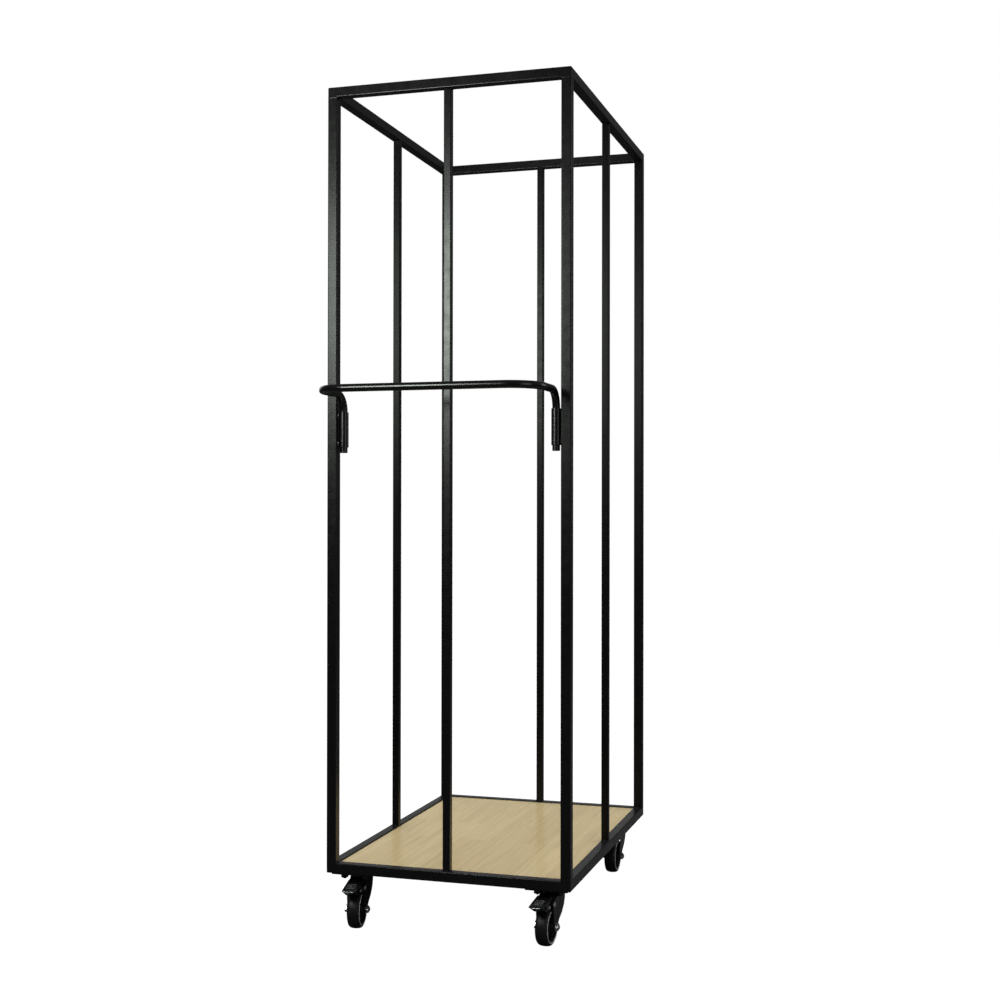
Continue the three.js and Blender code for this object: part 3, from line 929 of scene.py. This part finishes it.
def make_wheel_core(place, at):
    """Nylon core: hub, dished web, six ribs on each side and a rim."""
    centre = wheel_place(place, at)
    bm = bmesh.new()
    profile = [
        (4.6, -14.8), (9.6, -14.8), (11, -5.4), (25.6, -4.4), (27, -11.6), (30, -11.6),
        (30, 11.6), (27, 11.6), (25.6, 4.4), (11, 5.4), (9.6, 14.8), (4.6, 14.8),
    ]
    radii = [0.4, 0.8, 2.5, 2.5, 0.6, 0.3, 0.3, 0.6, 2.5, 2.5, 0.8, 0.4]
    lathe(bm, rounded(profile, radii, 3), 64, centre)
    stand_up = Matrix.Rotation(math.pi / 2, 4, "X")
    rib_half = 1.3
    for i in range(6):
        turn = Matrix.Rotation(math.pi / 3 * i, 4, "Z")
        for side in (-1, 1):
            rib = [(9.5, side * 3), (26.8, side * 3), (26.8, side * 8.5), (9.5, side * 12)]
            prism(bm, rib, -rib_half, rib_half, 0.5, centre @ turn @ stand_up)
    make_piece(f"wheel_hub_{place}", bm, wheel_plastic, f"wheel_{place}",
               [f"wheel_core_{place}"])


def make_tyre(place, at):
    """Crowned tyre with rolled shoulders and a raised moulding line round its middle."""
    centre = wheel_place(place, at)
    half = [
        (30.1, 11.9), (32.3, 12.4), (34.2, 11.9), (35.9, 9.9),
        (36.8, 7.0), (37.25, 3.6), (37.35, 0.5),
    ]
    half_radii = [0.3, 0.8, 0.8, 0.8, 1, 1, 0]
    profile = half + [(37.5, 0.0)] + [(r, -z) for r, z in reversed(half)]
    radii = half_radii + [0] + half_radii[::-1]
    bm = bmesh.new()
    lathe(bm, rounded(profile, radii, 2), 80, centre)
    make_piece(f"tread_{place}", bm, tyre_rubber, f"wheel_{place}", [f"tyre_{place}"],
               sharp=50)
    # A small ridge round each side where tyre meets core. Its near-white colour is a painted
    # highlight of the light the glossy ridge catches.
    bm = bmesh.new()
    for side in (-1, 1):
        lathe(bm, [(r, side * z) for r, z in circle((31.0, 12.0), 1.0, 10)], 80, centre)
    make_piece(f"rim_painted_highlight_{place}", bm, painted_highlight_ring, f"wheel_{place}")


def pedal_section():
    """The bent plate of the pedal in Y and Z: top face, front fold, underside to the shoe."""
    outline = [
        (-53, -9.6), (-108.4, -17.8), (-110, -18.7), (-73, -35),
        (-72.2, -33.2), (-102.5, -20.0), (-53, -11.6),
    ]
    return rounded(outline, [0.5, 2.4, 1.2, 0.7, 0.7, 1.5, 0.5], 4)


def pedal_top_z(y):
    """The height of the pedal's sloping top face."""
    return -9.6 + (y + 53) * 8.2 / 55.4


def pedal_plate(bm, here):
    """The bent plate, with the front corners rounded in plan."""
    half_widths = (8, 10.6, 12.2, 13.4, 14.1, PEDAL_HALF_WIDTH)
    nose_start, nose_length = 91.0, 17.0
    rings = []
    for x in [-w for w in reversed(half_widths)] + [0, *half_widths]:
        past = max(0.0, abs(x) - (PEDAL_HALF_WIDTH - PEDAL_CORNER))
        set_back = PEDAL_CORNER - math.sqrt(max(0.0, PEDAL_CORNER ** 2 - past ** 2))
        ring = []
        for y, z in pedal_section():
            share = min(1.0, max(0.0, (-y - nose_start) / nose_length))
            ring.append(here @ Vector((x, y + set_back * share, z)))
        rings.append(ring)
    loft(bm, rings)


def make_pedal(place, at):
    """The brake pedal: a bent plate with grip ridges, two side ears, rivets, and a thin bright
    zinc bead along the front fold that is a painted highlight for the light the rounded fold
    catches.
    """
    here = steered(place, at)
    bm = bmesh.new()
    pedal_plate(bm, here)
    for y in (-76, -82, -88, -94):
        z = pedal_top_z(y)
        ridge = [(y - 0.9, z - 0.6), (y + 0.9, z - 0.6), (y + 0.5, z + 0.5), (y - 0.5, z + 0.5)]
        prism(bm, rounded(ridge, 0.3, 2), -9, 9, 0.4, along_x(here))
    ear = [(-44, -15), (-45, -29), (-50, -31.5), (-66, -33), (-84, -27), (-88, -16), (-53, -10.8)]
    ear = rounded(ear, [2, 3, 3, 3, 3, 2, 2], 4)
    ear_inner = PEDAL_HALF_WIDTH - 2.5
    for side in (-1, 1):
        low, high = sorted((side * ear_inner, side * PEDAL_HALF_WIDTH))
        prism(bm, ear, low, high, 0.5, along_x(here))
    make_piece(f"pedal_{place}", bm, caster_black, f"brake_{place}",
               [f"brake_pedal_{place}"])

    bm = bmesh.new()
    for side in (-1, 1):
        spot = Matrix.Translation((side * PEDAL_HALF_WIDTH, *PEDAL_RIVET))
        dome(bm, 3.4, 2.0, here @ spot @ facing_x(side), 0.5)
    make_piece(f"pedal_rivets_{place}", bm, zinc, f"brake_{place}")

    # A thin zinc bead along the front fold: a painted highlight that stands in for the light the
    # rounded fold catches.
    bm = bmesh.new()
    bead = [(0, -10.8), (0.6, -10.2), (0.6, 10.2), (0, 10.8)]
    lathe(bm, bead, 12, here @ Matrix.Translation((0, *PEDAL_TIP)) @ facing_x(1))
    make_piece(f"pedal_highlight_bead_{place}", bm, zinc, f"brake_{place}")


def make_brake_pin(place, at):
    centre = steered(place, at) @ Matrix.Translation((0, *PEDAL_PIVOT))
    seat = Matrix.Translation((0, 0, LEG_OUTER + 0.1))
    bm = bmesh.new()
    for side in (-1, 1):
        dome(bm, 4.9, 2.4, centre @ facing_x(side) @ seat, 0.8)
    shank = [(0, -18.6), (2.9, -18.6), (2.9, 18.6), (0, 18.6)]
    lathe(bm, shank, 20, centre @ facing_x(1))
    make_piece(f"pedal_pin_{place}", bm, zinc, f"caster_{place}", [f"brake_pin_{place}"])


def make_caster(place):
    at = caster_axis(place)
    brake = place.startswith("front")
    make_mount_plate(place, at)
    make_nuts(place, at)
    make_top_plate(place, at)
    make_kingpin(place, at)
    make_ball_race(place, at)
    make_fork(place, at, brake)
    make_axle(place, at)
    make_wheel_core(place, at)
    make_tyre(place, at)
    if brake:
        make_pedal(place, at)
        make_brake_pin(place, at)


# ---------- studio ----------

def soft_light(name, place, target, width, height, watts, tint=(1, 1, 1)):
    """An area light. It is returned so that its share in shading or in mirroring can be cut."""
    lamp = bpy.data.lights.new(name, "AREA")
    lamp.shape = "RECTANGLE"
    lamp.size = width
    lamp.size_y = height
    lamp.energy = watts
    lamp.color = tint
    holder = bpy.data.objects.new(name, lamp)
    holder.location = place
    aim = Vector(target) - Vector(place)
    holder.rotation_euler = aim.to_track_quat("-Z", "Y").to_euler()
    scene.collection.objects.link(holder)
    return holder


def make_floor():
    """A floor that looks white but throws little light back up at the rack."""
    n = Nodes("pale_floor")
    seen = n.add("ShaderNodeLightPath").outputs["Is Camera Ray"]
    cloud = n.ramp(n.noise(1.5, 4.0), 0.3, 0.7)
    colour = n.mix(cloud, grey(0.07), grey(0.09))
    n.surface(colour=colour, roughness=0.9, specular=0.1, glow_colour=grey(1.0), glow=seen)
    mesh = bpy.data.meshes.new("floor")
    reach = 40.0
    corners = [(x, y, 0) for x, y in rectangle((-reach, -reach), (reach, reach))]
    mesh.from_pydata(corners, [], [(0, 1, 2, 3)])
    mesh.materials.append(n.material)
    floor = bpy.data.objects.new("floor", mesh)
    scene.collection.objects.link(floor)


def make_world():
    """White to the camera and dim as a light, but for a soft pale patch low behind the rack that
    gives the lacquered board something to mirror."""
    dim, glow = 0.06, 0.24
    patch_way = Vector((-0.33, 0.92, 0.22)).normalized()
    rim_cosine, core_cosine = 0.90, 0.985
    world = bpy.data.worlds.new("studio")
    scene.world = world
    world.use_nodes = True
    tree = world.node_tree
    back = tree.nodes["Background"]
    back.inputs["Color"].default_value = (1, 1, 1, 1)
    way = tree.nodes.new("ShaderNodeTexCoord").outputs["Generated"]
    facing = tree.nodes.new("ShaderNodeVectorMath")
    facing.operation = "DOT_PRODUCT"
    facing.inputs[1].default_value = patch_way
    tree.links.new(way, facing.inputs[0])
    patch = tree.nodes.new("ShaderNodeMapRange")
    patch.interpolation_type = "SMOOTHSTEP"
    patch.inputs["From Min"].default_value = rim_cosine
    patch.inputs["From Max"].default_value = core_cosine
    patch.inputs["To Min"].default_value = dim
    patch.inputs["To Max"].default_value = glow
    tree.links.new(facing.outputs["Value"], patch.inputs["Value"])
    rays = tree.nodes.new("ShaderNodeLightPath")
    strength = tree.nodes.new("ShaderNodeMapRange")
    strength.inputs["To Max"].default_value = 1.0
    tree.links.new(patch.outputs["Result"], strength.inputs["To Min"])
    tree.links.new(rays.outputs["Is Camera Ray"], strength.inputs["Value"])
    tree.links.new(strength.outputs["Result"], back.inputs["Strength"])


def make_camera():
    """The viewing place: in front of the rack, to its right and nearly level. Pan, tilt and
    roll are in radians."""
    pan, tilt, roll = 0.29080, -0.00528, -0.00009
    spot = Matrix.Translation((0.9038, -2.8492, 0.8411))
    camera = bpy.data.cameras.new("camera")
    camera.sensor_width = 36
    camera.lens = 50.608
    camera.shift_x = -0.0117
    camera.shift_y = -0.0016
    camera.clip_end = 200
    holder = bpy.data.objects.new("camera", camera)
    look = Matrix(((1, 0, 0), (0, 0, -1), (0, 1, 0)))
    turn_z = Matrix.Rotation(roll, 3, "Z")
    turn_y = Matrix.Rotation(pan, 3, "Y")
    turn_x = Matrix.Rotation(tilt, 3, "X")
    right, down, forward = turn_z @ turn_y @ turn_x @ look
    axes = Matrix((right, -down, -forward)).transposed()
    holder.matrix_world = spot @ axes.to_4x4()
    scene.collection.objects.link(holder)
    scene.camera = holder


def make_lights():
    """The key is only mirrored, which draws the pale streaks on the tubes. The overhead only
    lights surfaces, and is not mirrored."""
    cool = (0.93, 1.0, 0.92)
    key = soft_light(
        "key", (-0.61, -1.75, 1.45), (0, -0.2, 1.25), 0.42, 0.52, 15.5, cool)
    key.visible_diffuse = False
    overhead = soft_light("overhead", (0.0, 0.2, 3.8), (0, 0.1, 0), 6.0, 5.0, 255)
    overhead.visible_glossy = False
    soft_light("fill", (3.4, -1.8, 1.4), (0, 0, 0.9), 1.6, 2.4, 12)
    for side in (-1, 1):
        rear = soft_light(f"rear_{side}", (side * 2.9, 2.4, 1.9), (0, 0.1, 0.9), 1.2, 1.8, 9)
        rear.visible_camera = False


make_rails()
make_posts()
make_welds()
make_deck()
make_handle()
make_socket("handle_socket_left", -1)
make_socket("handle_socket_right", 1)
for caster_place in STEER:
    make_caster(caster_place)
make_floor()
make_world()
make_lights()
make_camera()
scene.view_settings.view_transform = "Standard"
